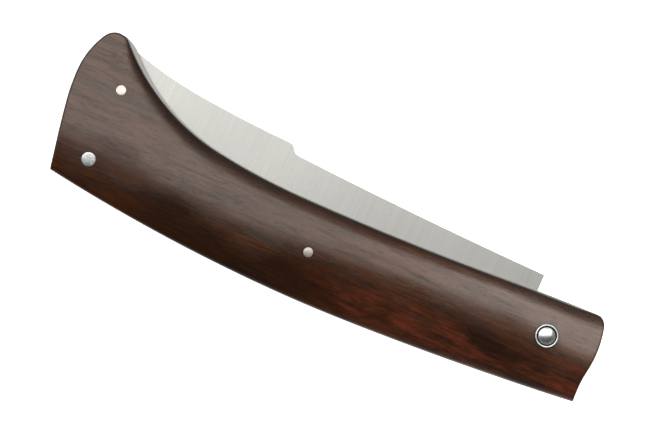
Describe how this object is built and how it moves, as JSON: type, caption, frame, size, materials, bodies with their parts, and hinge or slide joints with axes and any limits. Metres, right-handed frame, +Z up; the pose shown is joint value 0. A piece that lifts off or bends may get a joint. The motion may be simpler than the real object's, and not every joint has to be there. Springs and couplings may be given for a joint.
{
  "type": "straight razor",
  "caption": "Folding straight razor with rosewood scales on steel liners, a stepped blade with an upswept edge and a riveted pivot, shown closed.",
  "frame": {"origin": "centre of the bounding box's bottom face, on the surface that the closed razor lies on", "axes": "+X along the handle from the tail to the pivot end, +Y from the back towards the front that the blade folds into, +Z up through the thickness, out of the front scale"},
  "size_m": [0.144, 0.042, 0.0148],
  "materials": {
    "rosewood": "dark reddish brown rosewood with black streaks along the handle, oiled to a satin gloss",
    "blade_steel": "satin, brushed across the blade",
    "liner_steel": "fine satin along the edges",
    "pin_steel": "filed flush and lightly brushed",
    "polished_steel": "polished",
    "bronze": "turned, plain"
  },
  "bodies": {
    "handle": {"front_scale": "rosewood", "rear_scale": "rosewood", "front_liner": "liner_steel", "rear_liner": "liner_steel", "back_spacer": "liner_steel", "pivot_pin": "polished_steel", "front_rosette": "polished_steel", "rear_rosette": "polished_steel", "front_washer": "bronze", "rear_washer": "bronze", "tail_pin": "pin_steel", "hook_pin": "pin_steel", "middle_pin": "pin_steel"},
    "blade": {"blade": "blade_steel", "pivot_bush": "bronze"}
  },
  "joints": [
    {"name": "blade_pivot", "type": "hinge", "parent": "handle", "child": "blade", "pos_m": [0.05913, -0.00376, 0.00742], "axis": [0, 0, -1], "range_deg": [0, 173]}
  ]
}
